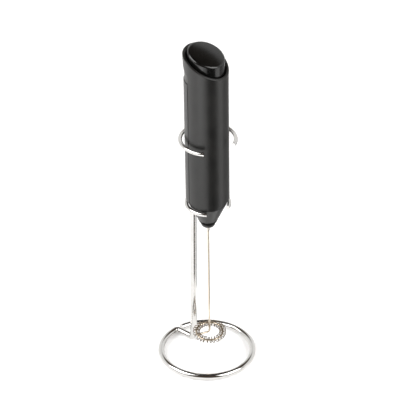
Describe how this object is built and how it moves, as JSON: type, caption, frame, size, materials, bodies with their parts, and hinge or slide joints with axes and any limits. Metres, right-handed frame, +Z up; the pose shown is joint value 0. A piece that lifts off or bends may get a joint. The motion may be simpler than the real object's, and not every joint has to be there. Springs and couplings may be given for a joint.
{
  "type": "milk frother with stand",
  "caption": "Hand-held battery milk frother with a slanted push button, a coiled wire whisk and a chrome wire stand that holds it nose down.",
  "frame": {"origin": "centre of the stand's base ring, on the surface it stands on", "axes": "+Z up along the frother; +Y from the frother's axis to the stand's post; the clips open towards -Y"},
  "size_m": [0.066, 0.066, 0.245],
  "materials": {
    "handle_plastic": "matte dark grey moulded plastic",
    "button_plastic": "satin black moulded plastic",
    "rubber": "black rubber",
    "chrome_wire": "bright plated wire",
    "whisk_steel": "drawn stainless wire",
    "steel": "plain steel",
    "plated_steel": "nickel-plated sheet and spring wire",
    "ferrite": "dark sintered magnet",
    "copper": "copper",
    "brass": "brass",
    "motor_plastic": "pale moulded plastic",
    "inner_plastic": "dark moulded plastic",
    "cell_sleeve": "plain sleeve over a cell can",
    "lead_insulation": "wire insulation"
  },
  "bodies": {
    "stand": {"stand_wire": "chrome_wire", "upper_clip": "chrome_wire", "lower_clip": "chrome_wire"},
    "frother": {"handle_shell": "handle_plastic", "nose_cone": "handle_plastic", "nose_bush": "handle_plastic", "seal_ring": "rubber", "motor_can": "steel", "motor_end_cap": "motor_plastic", "motor_magnets": "ferrite", "motor_brushes": "copper", "motor_terminals": "brass", "motor_sleeve": "rubber", "motor_pad": "rubber", "chassis": "inner_plastic", "cell_left": "cell_sleeve", "cell_right": "cell_sleeve", "bridge_plate": "plated_steel", "contact_plates": "plated_steel", "battery_springs": "plated_steel", "switch_body": "inner_plastic", "switch_screws": "steel", "button_spring": "plated_steel", "lead_wires": "lead_insulation"},
    "battery_cover": {"battery_cover": "handle_plastic"},
    "button": {"button_cap": "button_plastic"},
    "plunger": {"switch_plunger": "motor_plastic"},
    "whisk": {"motor_shaft": "steel", "armature_core": "steel", "armature_windings": "copper", "commutator": "copper", "shaft_coupling": "motor_plastic", "shaft_ferrule": "steel", "whisk_wire": "whisk_steel", "whisk_coil": "whisk_steel"}
  },
  "joints": [
    {"name": "frother_lift", "type": "slide", "parent": "stand", "child": "frother", "axis": [-0.0091, 0.0059, 0.9999], "range_m": [0, 0.16]},
    {"name": "whisk_spin", "type": "hinge", "parent": "frother", "child": "whisk", "pos_m": [0, -0.001, 0.12387], "axis": [-0.0091, 0.0059, 0.9999], "continuous": true},
    {"name": "button_press", "type": "slide", "parent": "frother", "child": "button", "axis": [0.0091, -0.0059, -0.9999], "range_m": [0, 0.0018], "stiffness_N_per_m": 600, "springref_m": -0.002, "deforming": ["button_spring"]},
    {"name": "plunger_press", "type": "slide", "parent": "frother", "child": "plunger", "axis": [0.0091, -0.0059, -0.9999], "range_m": [0, 0.0018]},
    {"name": "cover_slide", "type": "slide", "parent": "frother", "child": "battery_cover", "axis": [0.0091, -0.0059, -0.9999], "range_m": [0, 0.0025]}
  ],
  "couplings": [
    {"joint": "plunger_press", "follows": "button_press", "ratio": 1}
  ]
}
